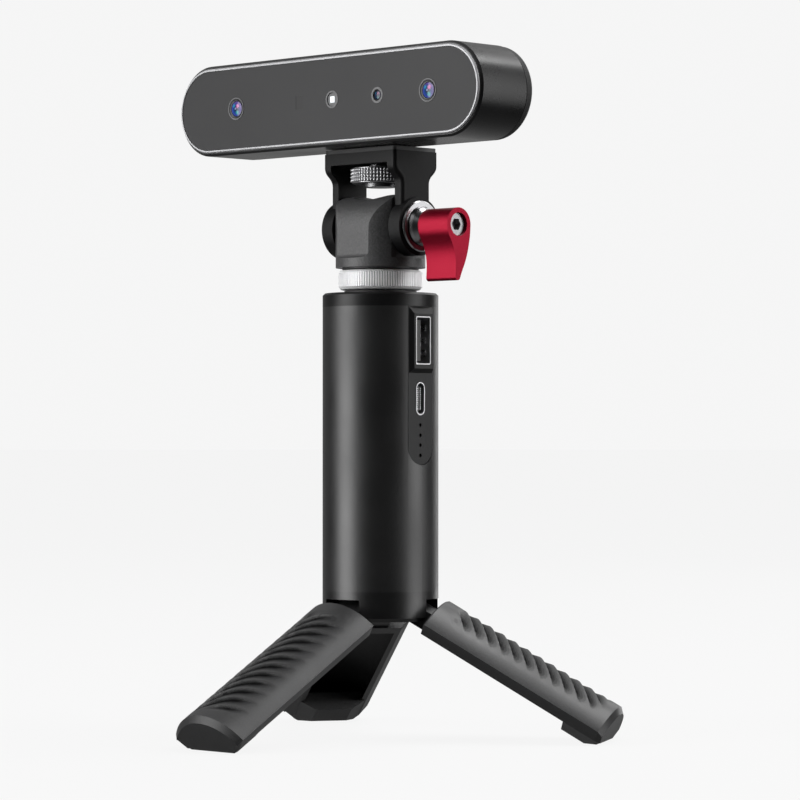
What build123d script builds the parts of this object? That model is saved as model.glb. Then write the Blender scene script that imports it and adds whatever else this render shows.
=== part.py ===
from build123d import *
import math
import os

os.makedirs("parts", exist_ok=True)

# ---------------------------------------------------------------- dimensions
# Frame: origin on the ground, on the grip axis. +Z up, the scanner looks
# along -Y, +X is the side with the clamp lever and the charging ports.

GRIP_R = 16.0            # outer radius of the grip tube
GRIP_WALL = 1.5
HUB_Z0 = 32.4            # underside of the leg hub
TUBE_Z0 = 40.6           # bottom of the grip tube
TUBE_Z1 = 118.6          # top of the grip tube
CAP_Z1 = 122.4           # top of the grip cap
WASHER_Z1 = 123.1
RING_Z0, RING_Z1, RING_R = 123.4, 128.8, 11.6
KNUCKLE_Z0, FLANGE_Z1, KNUCKLE_Z1 = 129.1, 131.9, 149.4
KNUCKLE_R = 12.4
PIVOT_Z = 140.4          # tilt axis, along X
WHEEL_Z0, WHEEL_Z1, WHEEL_R = 152.7, 157.2, 8.4
PLATE_Z0, PLATE_Z1 = 157.9, 161.1
PAD_Z1 = 162.2
HEAD_Z0, HEAD_H, HEAD_L = 162.5, 25.6, 119.0
HEAD_X = -6.3            # head centre, across
HEAD_ZC = HEAD_Z0 + HEAD_H / 2
HEAD_Y0, HEAD_Y1 = -16.0, 5.5   # front and back of the head
SEAM_Y = 1.9
BORE_R, STUD_R = 3.22, 3.15     # quarter-inch thread class fit
BOLT_R, BOLT_BORE_R = 2.0, 2.06

# features on the centre line of the front window
CAM_L_X, CAM_R_X, RGB_X, LED_X, PROJ_X = -41.7, 33.6, 14.5, -3.0, -16.0
CAM_R, RGB_R, LED_R = 3.15, 2.2, 2.4

# legs
LEG_C, LEG_S = 0.8634, 0.5045   # leg slope, 30.3 degrees below horizontal
PIV_R, PIV_Z = 9.0, 35.6        # hinge pin, from the grip axis and height
LEG_A0, LEG_A1 = -2.7, 54.6     # start and end along the leg
CREST_N = 42.27                 # crest height in leg coordinates
END_BEVEL = 1.5
TONGUE_W, SLOT_W = 6.1, 6.4     # half widths
PIN_R, PIN_BORE_R = 1.0, 1.06


def yplane(y):
    # sketch plane facing the front: local x = X, local y = Z
    return Plane(origin=(0, y, 0), x_dir=(1, 0, 0), z_dir=(0, -1, 0))


def xplane(x):
    # sketch plane facing the lever side: local x = Y, local y = Z
    return Plane(origin=(x, 0, 0), x_dir=(0, 1, 0), z_dir=(1, 0, 0))


def dome(r_edge, y_edge, y_top, r):
    # height at radius r of a spherical cap centred on the optical axis
    sag = y_edge - y_top
    rad = (r_edge ** 2 + sag ** 2) / (2 * sag)
    return y_top + rad - math.sqrt(rad ** 2 - r ** 2)


def save(builder, label):
    builder.part.label = label
    export_step(builder.part, "parts/" + label + ".step")


# =============================================================== scanner head
SHELL_Y0 = -15.4
CAV_L, CAV_H = 115.0, 21.6

with BuildPart() as head_shell:
    with BuildSketch(yplane(SEAM_Y)):
        with Locations((HEAD_X, HEAD_ZC)):
            SlotOverall(HEAD_L, HEAD_H)
    extrude(amount=SEAM_Y - SHELL_Y0)
    front = head_shell.faces().sort_by(Axis.Y)[0]
    chamfer(front.edges(), length=0.6)
    # seat for the trim ring and window
    with BuildSketch(yplane(-13.6)):
        with Locations((HEAD_X, HEAD_ZC)):
            SlotOverall(117.4, 24.0)
    extrude(amount=3.0, mode=Mode.SUBTRACT)
    # cavity, open at the back
    with BuildSketch(yplane(SEAM_Y)):
        with Locations((HEAD_X, HEAD_ZC)):
            SlotOverall(CAV_L, CAV_H)
    extrude(amount=SEAM_Y + 13.6, mode=Mode.SUBTRACT)
    # block round the threaded insert
    with Locations((0, (SEAM_Y - 6.0) / 2, 166.0)):
        Box(13.0, SEAM_Y + 6.0, 5.4)
    with Locations((0, 0, 166.0)):
        Cylinder(3.95, 9.0, mode=Mode.SUBTRACT)
save(head_shell, "head_shell")

with BuildPart() as front_trim:
    with BuildSketch(yplane(-13.6)):
        with Locations((HEAD_X, HEAD_ZC)):
            SlotOverall(117.3, 23.9)
            SlotOverall(115.9, 22.5, mode=Mode.SUBTRACT)
    extrude(amount=-13.6 - HEAD_Y0)
    rim = front_trim.faces().sort_by(Axis.Y)[0]
    chamfer(rim.outer_wire().edges(), length=0.3)
save(front_trim, "front_trim")

with BuildPart() as front_window:
    with BuildSketch(yplane(-13.6)):
        with Locations((HEAD_X, HEAD_ZC)):
            SlotOverall(115.8, 22.4)
        with Locations((CAM_L_X, HEAD_ZC), (CAM_R_X, HEAD_ZC)):
            Circle(CAM_R + 0.02, mode=Mode.SUBTRACT)
        with Locations((RGB_X, HEAD_ZC)):
            Circle(RGB_R + 0.02, mode=Mode.SUBTRACT)
        with Locations((LED_X, HEAD_ZC)):
            Circle(LED_R + 0.02, mode=Mode.SUBTRACT)
        with Locations((PROJ_X, HEAD_ZC)):
            Rectangle(2.7, 3.8, mode=Mode.SUBTRACT)
    extrude(amount=2.2)
save(front_window, "front_window")

for cam_name, cam_x in (("left", CAM_L_X), ("right", CAM_R_X)):
    with BuildPart() as cam_bezel:
        with BuildSketch(yplane(-12.8)):
            with Locations((cam_x, HEAD_ZC)):
                Circle(CAM_R)
                Circle(2.62, mode=Mode.SUBTRACT)
        extrude(amount=3.15)
        face = cam_bezel.faces().sort_by(Axis.Y)[0]
        chamfer(face.inner_wires()[0].edges(), length=0.25)
    save(cam_bezel, "camera_bezel_" + cam_name)

    # dome lens, revolved about the optical axis
    with BuildPart() as cam_lens:
        with BuildSketch(Plane(origin=(cam_x, 0, HEAD_ZC), x_dir=(1, 0, 0), z_dir=(0, 0, 1))):
            with BuildLine():
                Polyline((0, -15.55), (0, -12.8), (2.6, -12.8), (2.6, -15.0))
                ThreePointArc((2.6, -15.0), (1.4, dome(2.6, -15.0, -15.55, 1.4)), (0, -15.55))
            make_face()
        revolve(axis=Axis((cam_x, 0, HEAD_ZC), (0, 1, 0)))
    save(cam_lens, "camera_lens_" + cam_name)

    with BuildPart() as cam_module:
        with BuildSketch(yplane(-10.2)):
            with Locations((cam_x, HEAD_ZC)):
                Circle(3.6)
        extrude(amount=2.6)
        with BuildSketch(yplane(-7.6)):
            with Locations((cam_x, HEAD_ZC)):
                Rectangle(9.0, 9.0)
        extrude(amount=2.6)
    save(cam_module, "camera_module_" + cam_name)

with BuildPart() as rgb_bezel:
    with BuildSketch(yplane(-12.8)):
        with Locations((RGB_X, HEAD_ZC)):
            Circle(RGB_R)
            Circle(1.57, mode=Mode.SUBTRACT)
    extrude(amount=3.1)
save(rgb_bezel, "rgb_bezel")

with BuildPart() as rgb_lens:
    with BuildSketch(Plane(origin=(RGB_X, 0, HEAD_ZC), x_dir=(1, 0, 0), z_dir=(0, 0, 1))):
        with BuildLine():
            Polyline((0, -15.6), (0, -12.8), (1.55, -12.8), (1.55, -15.3))
            ThreePointArc((1.55, -15.3), (0.8, dome(1.55, -15.3, -15.6, 0.8)), (0, -15.6))
        make_face()
    revolve(axis=Axis((RGB_X, 0, HEAD_ZC), (0, 1, 0)))
save(rgb_lens, "rgb_lens")

with BuildPart() as rgb_module:
    with BuildSketch(yplane(-10.2)):
        with Locations((RGB_X, HEAD_ZC)):
            Circle(2.8)
    extrude(amount=2.6)
    with BuildSketch(yplane(-7.6)):
        with Locations((RGB_X, HEAD_ZC)):
            Rectangle(7.5, 7.5)
    extrude(amount=2.6)
save(rgb_module, "rgb_module")

with BuildPart() as led_ring:
    with BuildSketch(yplane(-12.8)):
        with Locations((LED_X, HEAD_ZC)):
            Circle(LED_R)
            Circle(1.95, mode=Mode.SUBTRACT)
    extrude(amount=3.1)
save(led_ring, "led_ring")

# board stack with the square emitter in front
with BuildPart() as led_emitter:
    with BuildSketch(yplane(-7.6)):
        with Locations((LED_X, HEAD_ZC)):
            Circle(1.93)
    extrude(amount=7.3)
    with BuildSketch(yplane(-14.9)):
        with Locations((LED_X, HEAD_ZC)):
            Rectangle(2.3, 2.3)
    extrude(amount=0.5)
save(led_emitter, "led_emitter")

with BuildPart() as projector_window:
    with BuildSketch(yplane(-13.6)):
        with Locations((PROJ_X, HEAD_ZC)):
            Rectangle(2.66, 3.76)
    extrude(amount=2.15)
save(projector_window, "projector_window")

with BuildPart() as projector_module:
    with BuildSketch(yplane(-7.6)):
        with Locations((PROJ_X, HEAD_ZC)):
            Rectangle(8.0, 9.5)
    extrude(amount=5.9)
save(projector_module, "projector_module")

POSTS = [(HEAD_X + sx * 50.0, HEAD_ZC + sz * 5.5) for sx in (-1, 1) for sz in (-1, 1)]

# frame plate that carries the optics, with the four posts for the cover screws
with BuildPart() as optics_chassis:
    with BuildSketch(yplane(-6.1)):
        with Locations((HEAD_X, HEAD_ZC)):
            SlotOverall(CAV_L - 0.1, CAV_H - 0.1)
    extrude(amount=1.5)
    with BuildSketch(yplane(1.85)):
        with Locations(*POSTS):
            Circle(2.4)
    extrude(amount=7.95)
    with BuildSketch(yplane(1.85)):
        with Locations(*POSTS):
            Circle(0.95)
    extrude(amount=6.0, mode=Mode.SUBTRACT)
save(optics_chassis, "optics_chassis")

with BuildPart() as main_pcb:
    with BuildSketch(yplane(-2.3)):
        with Locations((HEAD_X, 176.8)):
            RectangleRounded(90.0, 15.0, 2.0)
    extrude(amount=1.2)
    # processor and memory cans
    with BuildSketch(yplane(-1.1)):
        with Locations((HEAD_X + 14, 177.0)):
            Rectangle(12.0, 12.0)
        with Locations((HEAD_X - 8, 177.0)):
            Rectangle(8.0, 10.0)
    extrude(amount=1.2)
    # board standoffs to the frame plate
    with BuildSketch(yplane(-3.5)):
        with Locations((HEAD_X - 40, 182.0), (HEAD_X + 40, 182.0),
                       (HEAD_X - 40, 171.5), (HEAD_X + 40, 171.5)):
            Circle(1.5)
    extrude(amount=2.6)
save(main_pcb, "main_pcb")

DATA_X = -36.0
with BuildPart() as data_port:
    with BuildSketch(yplane(5.3)):
        with Locations((DATA_X, HEAD_ZC)):
            SlotOverall(9.0, 3.2)
            SlotOverall(8.4, 2.6, mode=Mode.SUBTRACT)
    extrude(amount=7.6)
    with BuildSketch(yplane(-1.5)):
        with Locations((DATA_X, HEAD_ZC)):
            SlotOverall(9.0, 3.2)
    extrude(amount=0.8)
    with BuildSketch(yplane(4.4)):
        with Locations((DATA_X, HEAD_ZC)):
            Rectangle(6.7, 0.7)
    extrude(amount=6.0)
save(data_port, "data_port")

with BuildPart() as rear_cover:
    with BuildSketch(yplane(HEAD_Y1)):
        with Locations((HEAD_X, HEAD_ZC)):
            SlotOverall(HEAD_L - 0.3, HEAD_H - 0.3)
    extrude(amount=HEAD_Y1 - SEAM_Y)
    back = rear_cover.faces().sort_by(Axis.Y)[-1]
    fillet(back.edges(), radius=2.2)
    # narrow reveal all round at the seam
    with BuildSketch(yplane(SEAM_Y + 0.35)):
        with Locations((HEAD_X, HEAD_ZC)):
            SlotOverall(HEAD_L + 1.0, HEAD_H + 1.0)
            SlotOverall(HEAD_L - 1.4, HEAD_H - 1.4, mode=Mode.SUBTRACT)
    extrude(amount=0.45, mode=Mode.SUBTRACT)
    with BuildSketch(yplane(3.9)):
        with Locations((HEAD_X, HEAD_ZC)):
            SlotOverall(CAV_L, CAV_H)
    extrude(amount=3.0, mode=Mode.SUBTRACT)
    # screw bosses and insert block
    with BuildSketch(yplane(4.0)):
        with Locations(*POSTS):
            Circle(2.6)
    extrude(amount=2.05)
    with Locations((0, (SEAM_Y + 4.6) / 2, 166.2)):
        Box(13.0, 4.6 - SEAM_Y, 5.0)
    with Locations((0, 0, 166.0)):
        Cylinder(3.95, 9.0, mode=Mode.SUBTRACT)
    with BuildSketch(yplane(6.0)):
        with Locations(*POSTS):
            Circle(0.98)
        with Locations((DATA_X, HEAD_ZC)):
            SlotOverall(9.3, 3.5)
    extrude(amount=5.0, mode=Mode.SUBTRACT)
    with BuildSketch(yplane(6.0)):
        with Locations(*POSTS):
            Circle(1.75)
    extrude(amount=1.6, mode=Mode.SUBTRACT)
save(rear_cover, "rear_cover")

with BuildPart() as cover_screws:
    with BuildSketch(yplane(5.3)):
        with Locations(*POSTS):
            Circle(1.65)
    extrude(amount=0.9)
    with BuildSketch(yplane(4.4)):
        with Locations(*POSTS):
            Circle(0.92)
    extrude(amount=7.4)
    with BuildSketch(yplane(5.4)):
        with Locations(*POSTS):
            RegularPolygon(0.75, 6)
    extrude(amount=0.6, mode=Mode.SUBTRACT)
save(cover_screws, "cover_screws")

with BuildPart() as head_insert:
    with Locations((0, 0, HEAD_Z0 + 0.1)):
        Cylinder(3.93, 5.6, align=(Align.CENTER, Align.CENTER, Align.MIN))
        Cylinder(BORE_R, 5.6, align=(Align.CENTER, Align.CENTER, Align.MIN), mode=Mode.SUBTRACT)
save(head_insert, "head_insert")

# ================================================================ tilt mount
with BuildPart() as yoke:
    # side outline of the ears, waisted below the top plate
    with BuildSketch(xplane(-14.0)):
        with BuildLine():
            l1 = Polyline((-5.5, PIVOT_Z), (-5.5, 152.0))
            l2 = Spline((-5.5, 152.0), (-8.5, 157.4), tangents=[(0, 1), (0, 1)])
            l3 = Polyline((-8.5, 157.4), (-8.5, PLATE_Z1), (8.5, PLATE_Z1), (8.5, 157.4))
            l4 = Spline((8.5, 157.4), (5.5, 152.0), tangents=[(0, -1), (0, -1)])
            l5 = Polyline((5.5, 152.0), (5.5, PIVOT_Z), (-5.5, PIVOT_Z))
        make_face()
    extrude(amount=28.0)
    with BuildSketch(xplane(-15.1)):
        with Locations((0, PIVOT_Z)):
            Circle(8.0)
    extrude(amount=30.2)
    # space between the ears
    with Locations((0, 0, (PLATE_Z0 + 130.0) / 2)):
        Box(22.0, 40.0, PLATE_Z0 - 130.0, mode=Mode.SUBTRACT)
    with Locations((0, 0, 160.0)):
        Cylinder(BORE_R, 8.0, mode=Mode.SUBTRACT)
    with Locations((0, 0, PIVOT_Z)):
        Cylinder(BOLT_BORE_R, 40.0, rotation=(0, 90, 0), mode=Mode.SUBTRACT)
    top_edges = yoke.edges().filter_by(Axis.Z).filter_by_position(Axis.Z, 158.0, 161.0)
    outer = [e for e in top_edges if abs(e.center().X) > 13.5 and abs(e.center().Y) > 8.0]
    if outer:
        fillet(outer, radius=1.2)
save(yoke, "yoke")

with BuildPart() as yoke_pad:
    with BuildSketch(Plane.XY.offset(PLATE_Z1)):
        RectangleRounded(27.6, 16.6, 1.2)
        Circle(3.5, mode=Mode.SUBTRACT)
    extrude(amount=PAD_Z1 - PLATE_Z1)
save(yoke_pad, "yoke_pad")

with BuildPart() as thumb_wheel:
    with Locations((0, 0, WHEEL_Z0)):
        Cylinder(WHEEL_R, WHEEL_Z1 - WHEEL_Z0, align=(Align.CENTER, Align.CENTER, Align.MIN))
    chamfer(thumb_wheel.edges().filter_by(GeomType.CIRCLE), length=0.5)
    with Locations((0, 0, 155.0)):
        Cylinder(STUD_R, 12.0, mode=Mode.SUBTRACT)
save(thumb_wheel, "thumb_wheel")

with BuildPart() as thumb_screw:
    with Locations((0, 0, 151.8)):
        Cylinder(STUD_R, 15.0, align=(Align.CENTER, Align.CENTER, Align.MIN))
        Cylinder(4.6, 0.9, align=(Align.CENTER, Align.CENTER, Align.MIN))
    chamfer(thumb_screw.edges().group_by(Axis.Z)[-1], length=0.5)
save(thumb_screw, "thumb_screw")

with BuildPart() as knuckle:
    with BuildSketch(Plane.XY.offset(129.5)):
        Circle(KNUCKLE_R)
    extrude(amount=KNUCKLE_Z1 - 129.5)
    with BuildSketch(Plane.XY.offset(KNUCKLE_Z0)):
        Circle(10.6)
    extrude(amount=0.4)
    # side outline: flange, flats, rounded top with a shallow saddle
    with BuildSketch(xplane(-20.0)):
        with BuildLine():
            Polyline((-13, 129.0), (-13, 131.9), (-12.3, 131.9))
            ThreePointArc((-12.3, 131.9), (-11.24, 132.34), (-10.8, 133.4))
            Line((-10.8, 133.4), (-10.8, 140.0))
            ThreePointArc((-10.8, 140.0), (-8.05, 146.65), (-1.4, KNUCKLE_Z1))
            Line((-1.4, KNUCKLE_Z1), (1.4, KNUCKLE_Z1))
            ThreePointArc((1.4, KNUCKLE_Z1), (8.05, 146.65), (10.8, 140.0))
            Line((10.8, 140.0), (10.8, 133.4))
            ThreePointArc((10.8, 133.4), (11.24, 132.34), (12.3, 131.9))
            Polyline((12.3, 131.9), (13, 131.9), (13, 129.0), (-13, 129.0))
        make_face()
    extrude(amount=40.0, mode=Mode.INTERSECT)
    # flats for the ears
    with Locations((15.6, 0, 146.9), (-15.6, 0, 146.9)):
        Box(10.0, 40.0, 30.0, mode=Mode.SUBTRACT)
    # saddle across the top
    with Locations((0, 0, 166.4)):
        Cylinder(18.5, 40.0, rotation=(90, 0, 0), mode=Mode.SUBTRACT)
    with Locations((0, 0, 148.0)):
        Cylinder(3.5, 6.0, mode=Mode.SUBTRACT)
    with Locations((0, 0, 128.0)):
        Cylinder(BORE_R, 9.4, align=(Align.CENTER, Align.CENTER, Align.MIN), mode=Mode.SUBTRACT)
    with Locations((0, 0, PIVOT_Z)):
        Cylinder(BOLT_BORE_R, 40.0, rotation=(0, 90, 0), mode=Mode.SUBTRACT)
save(knuckle, "knuckle")

with BuildPart() as pivot_washer:
    with BuildSketch(xplane(15.1)):
        with Locations((0, PIVOT_Z)):
            Circle(7.0)
            Circle(BOLT_BORE_R, mode=Mode.SUBTRACT)
    extrude(amount=1.0)
    edge_r = pivot_washer.faces().sort_by(Axis.X)[-1]
    chamfer(edge_r.outer_wire().edges(), length=0.3)
save(pivot_washer, "pivot_washer")

with BuildPart() as pivot_nut:
    with BuildSketch(xplane(-18.3)):
        with Locations((0, PIVOT_Z)):
            RegularPolygon(4.04, 6)
            Circle(BOLT_BORE_R, mode=Mode.SUBTRACT)
    extrude(amount=3.2)
save(pivot_nut, "pivot_nut")

with BuildPart() as lever_hub:
    with BuildSketch(xplane(16.4)):
        with Locations((0, PIVOT_Z)):
            Circle(5.4)
    with BuildSketch(xplane(17.2)):
        with Locations((0, PIVOT_Z)):
            Circle(5.0)
    with BuildSketch(xplane(19.0)):
        with Locations((0, PIVOT_Z)):
            Circle(3.0)
    loft(ruled=True)
    with BuildSketch(xplane(16.0)):
        with Locations((0, PIVOT_Z)):
            Circle(BOLT_R)
    extrude(amount=4.0, mode=Mode.SUBTRACT)
save(lever_hub, "lever_hub")

with BuildPart() as lever:
    with BuildSketch(xplane(19.0)):
        with Locations((0, PIVOT_Z)):
            Circle(4.55)
        with BuildLine():
            Spline((-4.50, PIVOT_Z - 0.7), (-3.1, PIVOT_Z - 4.3), (-1.65, PIVOT_Z - 7.8),
                   (-1.25, PIVOT_Z - 10.8), (-1.40, PIVOT_Z - 14.4), tangents=[(0.05, -1), (-0.08, -1)])
            ThreePointArc((-1.40, PIVOT_Z - 14.4), (-0.65, PIVOT_Z - 15.2), (0.45, PIVOT_Z - 14.6))
            Spline((0.45, PIVOT_Z - 14.6), (2.45, PIVOT_Z - 10.2), (3.95, PIVOT_Z - 5.2), (4.54, PIVOT_Z - 0.3),
                   tangents=[(0.35, 1), (0.02, 1)])
            Line((4.54, PIVOT_Z - 0.3), (-4.50, PIVOT_Z - 0.7))
        make_face()
    extrude(amount=11.0)
    with BuildSketch(xplane(25.0)):
        with Locations((0, PIVOT_Z)):
            Circle(3.2)
    extrude(amount=6.0, mode=Mode.SUBTRACT)
    with BuildSketch(xplane(18.0)):
        with Locations((0, PIVOT_Z)):
            Circle(BOLT_R)
    extrude(amount=8.0, mode=Mode.SUBTRACT)
save(lever, "lever")

with BuildPart() as lever_bolt:
    with BuildSketch(xplane(-18.6)):
        with Locations((0, PIVOT_Z)):
            Circle(BOLT_R)
    extrude(amount=43.6)
    with BuildSketch(xplane(25.0)):
        with Locations((0, PIVOT_Z)):
            Circle(3.05)
    extrude(amount=4.0)
    with BuildSketch(xplane(27.0)):
        with Locations((0, PIVOT_Z)):
            RegularPolygon(1.75, 6)
    extrude(amount=3.0, mode=Mode.SUBTRACT)
save(lever_bolt, "lever_bolt")

# ==================================================================== grip
PANEL_W = 4.7            # half width of the port panel
PANEL_Z0 = 75.1
USB_A_Z, USB_A_Y, USB_C_Z = 109.2, 0.3, 93.3
LED_ZS = (86.1, 83.3, 80.6, 77.8)

with BuildPart() as lock_ring:
    with Locations((0, 0, RING_Z0)):
        Cylinder(RING_R, RING_Z1 - RING_Z0, align=(Align.CENTER, Align.CENTER, Align.MIN))
    chamfer(lock_ring.edges().filter_by(GeomType.CIRCLE), length=0.7)
    with Locations((0, 0, 126.0)):
        Cylinder(BORE_R, 12.0, mode=Mode.SUBTRACT)
save(lock_ring, "lock_ring")

with BuildPart() as grip_washer:
    with BuildSketch(Plane.XY.offset(CAP_Z1)):
        Circle(10.0)
        Circle(3.3, mode=Mode.SUBTRACT)
    extrude(amount=WASHER_Z1 - CAP_Z1)
save(grip_washer, "grip_washer")

with BuildPart() as grip_stud:
    with Locations((0, 0, 116.1)):
        Cylinder(STUD_R, 20.9, align=(Align.CENTER, Align.CENTER, Align.MIN))
    chamfer(grip_stud.edges().group_by(Axis.Z)[-1], length=0.5)
    with Locations((0, 0, 115.1)):
        Cylinder(5.2, 1.4, align=(Align.CENTER, Align.CENTER, Align.MIN))
save(grip_stud, "grip_stud")

with BuildPart() as grip_cap:
    with Locations((0, 0, TUBE_Z1)):
        Cylinder(GRIP_R, CAP_Z1 - TUBE_Z1, align=(Align.CENTER, Align.CENTER, Align.MIN))
    chamfer(grip_cap.edges().group_by(Axis.Z)[-1], length=0.6)
    with Locations((0, 0, 116.6)):
        Cylinder(12.6, 2.1, align=(Align.CENTER, Align.CENTER, Align.MIN))
    with Locations((0, 0, 119.0)):
        Cylinder(STUD_R, 12.0, mode=Mode.SUBTRACT)
save(grip_cap, "grip_cap")

with BuildPart() as grip_tube:
    with BuildSketch(Plane.XY.offset(TUBE_Z0)):
        Circle(GRIP_R)
        Circle(GRIP_R - GRIP_WALL, mode=Mode.SUBTRACT)
    extrude(amount=TUBE_Z1 - TUBE_Z0)
    # window for the port panel, open at the top
    with BuildSketch(xplane(10.0)):
        with Locations((0, PANEL_Z0 + PANEL_W)):
            Circle(PANEL_W)
        with Locations((0, (PANEL_Z0 + PANEL_W + 121.0) / 2)):
            Rectangle(2 * PANEL_W, 121.0 - PANEL_Z0 - PANEL_W)
    extrude(amount=8.0, mode=Mode.SUBTRACT)
save(grip_tube, "grip_tube")

with BuildPart() as port_panel:
    with BuildSketch(xplane(13.0)):
        with Locations((0, PANEL_Z0 + PANEL_W)):
            Circle(PANEL_W - 0.05)
        with Locations((0, (PANEL_Z0 + PANEL_W + 118.55) / 2)):
            Rectangle(2 * PANEL_W - 0.1, 118.55 - PANEL_Z0 - PANEL_W)
    extrude(amount=2.4)
    # raised, bevelled surround of the large port
    with BuildSketch(xplane(15.3)):
        with Locations((0, (100.2 + 118.55) / 2)):
            Rectangle(9.2, 18.35)
    with BuildSketch(xplane(16.4)):
        with Locations((0.35, (101.5 + 116.5) / 2)):
            Rectangle(7.3, 15.0)
    loft()
    with BuildSketch(xplane(12.0)):
        with Locations((USB_A_Y, USB_A_Z)):
            Rectangle(5.8, 13.2)
        with Locations((0, USB_C_Z)):
            SlotOverall(9.1, 3.4, rotation=90)
        with Locations(*[(0, z) for z in LED_ZS]):
            Circle(0.5)
    extrude(amount=6.0, mode=Mode.SUBTRACT)
save(port_panel, "port_panel")

with BuildPart() as usb_a_shell:
    with BuildSketch(xplane(8.2)):
        with Locations((USB_A_Y, USB_A_Z)):
            RectangleRounded(5.7, 13.1, 0.5)
    extrude(amount=8.1)
    with BuildSketch(xplane(9.0)):
        with Locations((USB_A_Y, USB_A_Z)):
            RectangleRounded(5.2, 12.6, 0.4)
    extrude(amount=8.0, mode=Mode.SUBTRACT)
save(usb_a_shell, "usb_a_shell")

with BuildPart() as usb_a_tongue:
    with BuildSketch(xplane(9.0)):
        with Locations((USB_A_Y - 1.2, USB_A_Z)):
            Rectangle(1.9, 11.2)
    extrude(amount=6.4)
save(usb_a_tongue, "usb_a_tongue")

with BuildPart() as usb_c_shell:
    with BuildSketch(xplane(8.2)):
        with Locations((0, USB_C_Z)):
            SlotOverall(9.0, 3.3, rotation=90)
    extrude(amount=7.3)
    with BuildSketch(xplane(9.0)):
        with Locations((0, USB_C_Z)):
            SlotOverall(8.5, 2.8, rotation=90)
    extrude(amount=8.0, mode=Mode.SUBTRACT)
save(usb_c_shell, "usb_c_shell")

with BuildPart() as usb_c_tongue:
    with BuildSketch(xplane(9.0)):
        with Locations((0, USB_C_Z)):
            Rectangle(0.7, 6.7)
    extrude(amount=5.6)
save(usb_c_tongue, "usb_c_tongue")

with BuildPart() as charge_light_guide:
    with BuildSketch(xplane(8.2)):
        with Locations((0, (LED_ZS[0] + LED_ZS[3]) / 2)):
            Rectangle(2.0, 10.4)
    extrude(amount=1.4)
    with BuildSketch(xplane(9.6)):
        with Locations(*[(0, z) for z in LED_ZS]):
            Circle(0.47)
    extrude(amount=5.3)
save(charge_light_guide, "charge_light_guide")

with BuildPart() as power_pcb:
    with BuildSketch(xplane(7.2)):
        with Locations((0, 89.0)):
            Rectangle(20.0, 54.0)
    extrude(amount=1.0)
    with BuildSketch(xplane(8.2)):
        with Locations((6.5, 92.0)):
            Rectangle(4.0, 5.0)
        with Locations((-6.5, 74.0)):
            Rectangle(4.5, 6.0)
    extrude(amount=1.6)
save(power_pcb, "power_pcb")

CELL_X, CELL_R = -3.9, 10.5
with BuildPart() as battery_cell:
    with BuildSketch(Plane.XY.offset(43.5)):
        with Locations((CELL_X, 0)):
            Circle(CELL_R)
    extrude(amount=70.0)
    fillet(battery_cell.edges().filter_by(GeomType.CIRCLE), radius=0.6)
save(battery_cell, "battery_cell")

with BuildPart() as cell_bracket:
    with Locations((6.92, 0, 78.85)):
        Box(0.54, 12.0, 71.5)
    with Locations((-2.6, 0, 43.28)):
        Box(19.4, 9.0, 0.36)
    with Locations((-2.6, 0, 114.1)):
        Box(19.4, 9.0, 1.0)
save(cell_bracket, "cell_bracket")

with BuildPart() as base_plug:
    with Locations((0, 0, 40.7)):
        Cylinder(14.45, 2.35, align=(Align.CENTER, Align.CENTER, Align.MIN))
        Cylinder(STUD_R, 2.35, align=(Align.CENTER, Align.CENTER, Align.MIN), mode=Mode.SUBTRACT)
save(base_plug, "base_plug")

# ================================================================= tripod
AZIMUTHS = (("front", 0.0), ("right", 120.0), ("left", -120.0))


def radial(az):
    return Vector(math.sin(math.radians(az)), -math.cos(math.radians(az)), 0)


def along(az):
    d = radial(az)
    return Vector(d.X * LEG_C, d.Y * LEG_C, -LEG_S)


def normal(az):
    d = radial(az)
    return Vector(d.X * LEG_S, d.Y * LEG_S, LEG_C)


def across(az):
    return Vector(0, 0, 1).cross(radial(az))


def section_plane(az, a):
    # cut across the leg at distance a along it: local x = width, local y = height
    v = along(az)
    return Plane(origin=(v.X * a, v.Y * a, v.Z * a), x_dir=across(az), z_dir=v)


def profile_plane(az, w):
    # side view of the leg: local x = along the leg, local y = height
    t = across(az)
    o = Vector(t.X * w, t.Y * w, 0)
    return Plane(origin=o, x_dir=along(az), z_dir=-t)


PIV_A = PIV_R * LEG_C - PIV_Z * LEG_S
PIV_N = PIV_R * LEG_S + PIV_Z * LEG_C

with BuildPart() as leg_hub:
    with Locations((0, 0, HUB_Z0)):
        Cylinder(GRIP_R, TUBE_Z0 - HUB_Z0, align=(Align.CENTER, Align.CENTER, Align.MIN))
    chamfer(leg_hub.edges().group_by(Axis.Z)[0], length=1.0)
    for _, az in AZIMUTHS:
        d = radial(az)
        ref = Plane(origin=(0, 0, 0), x_dir=d, z_dir=(0, 0, 1))
        with BuildSketch(ref.offset(HUB_Z0 - 1.0)):
            with Locations((5.8 + 10.0, 0)):
                Rectangle(20.0, 2 * SLOT_W)
        extrude(amount=7.0, mode=Mode.SUBTRACT)
        t = across(az)
        pp = Plane(origin=(d.X * PIV_R - t.X * 10.2, d.Y * PIV_R - t.Y * 10.2, PIV_Z), x_dir=(0, 0, 1), z_dir=t)
        with BuildSketch(pp):
            Circle(PIN_R)
        extrude(amount=20.4, mode=Mode.SUBTRACT)
    with Locations((0, 0, 35.0)):
        Cylinder(STUD_R, 6.0, align=(Align.CENTER, Align.CENTER, Align.MIN), mode=Mode.SUBTRACT)
save(leg_hub, "leg_hub")

with BuildPart() as hub_stud:
    with Locations((0, 0, 35.2)):
        Cylinder(STUD_R, 7.7, align=(Align.CENTER, Align.CENTER, Align.MIN))
save(hub_stud, "hub_stud")

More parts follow.
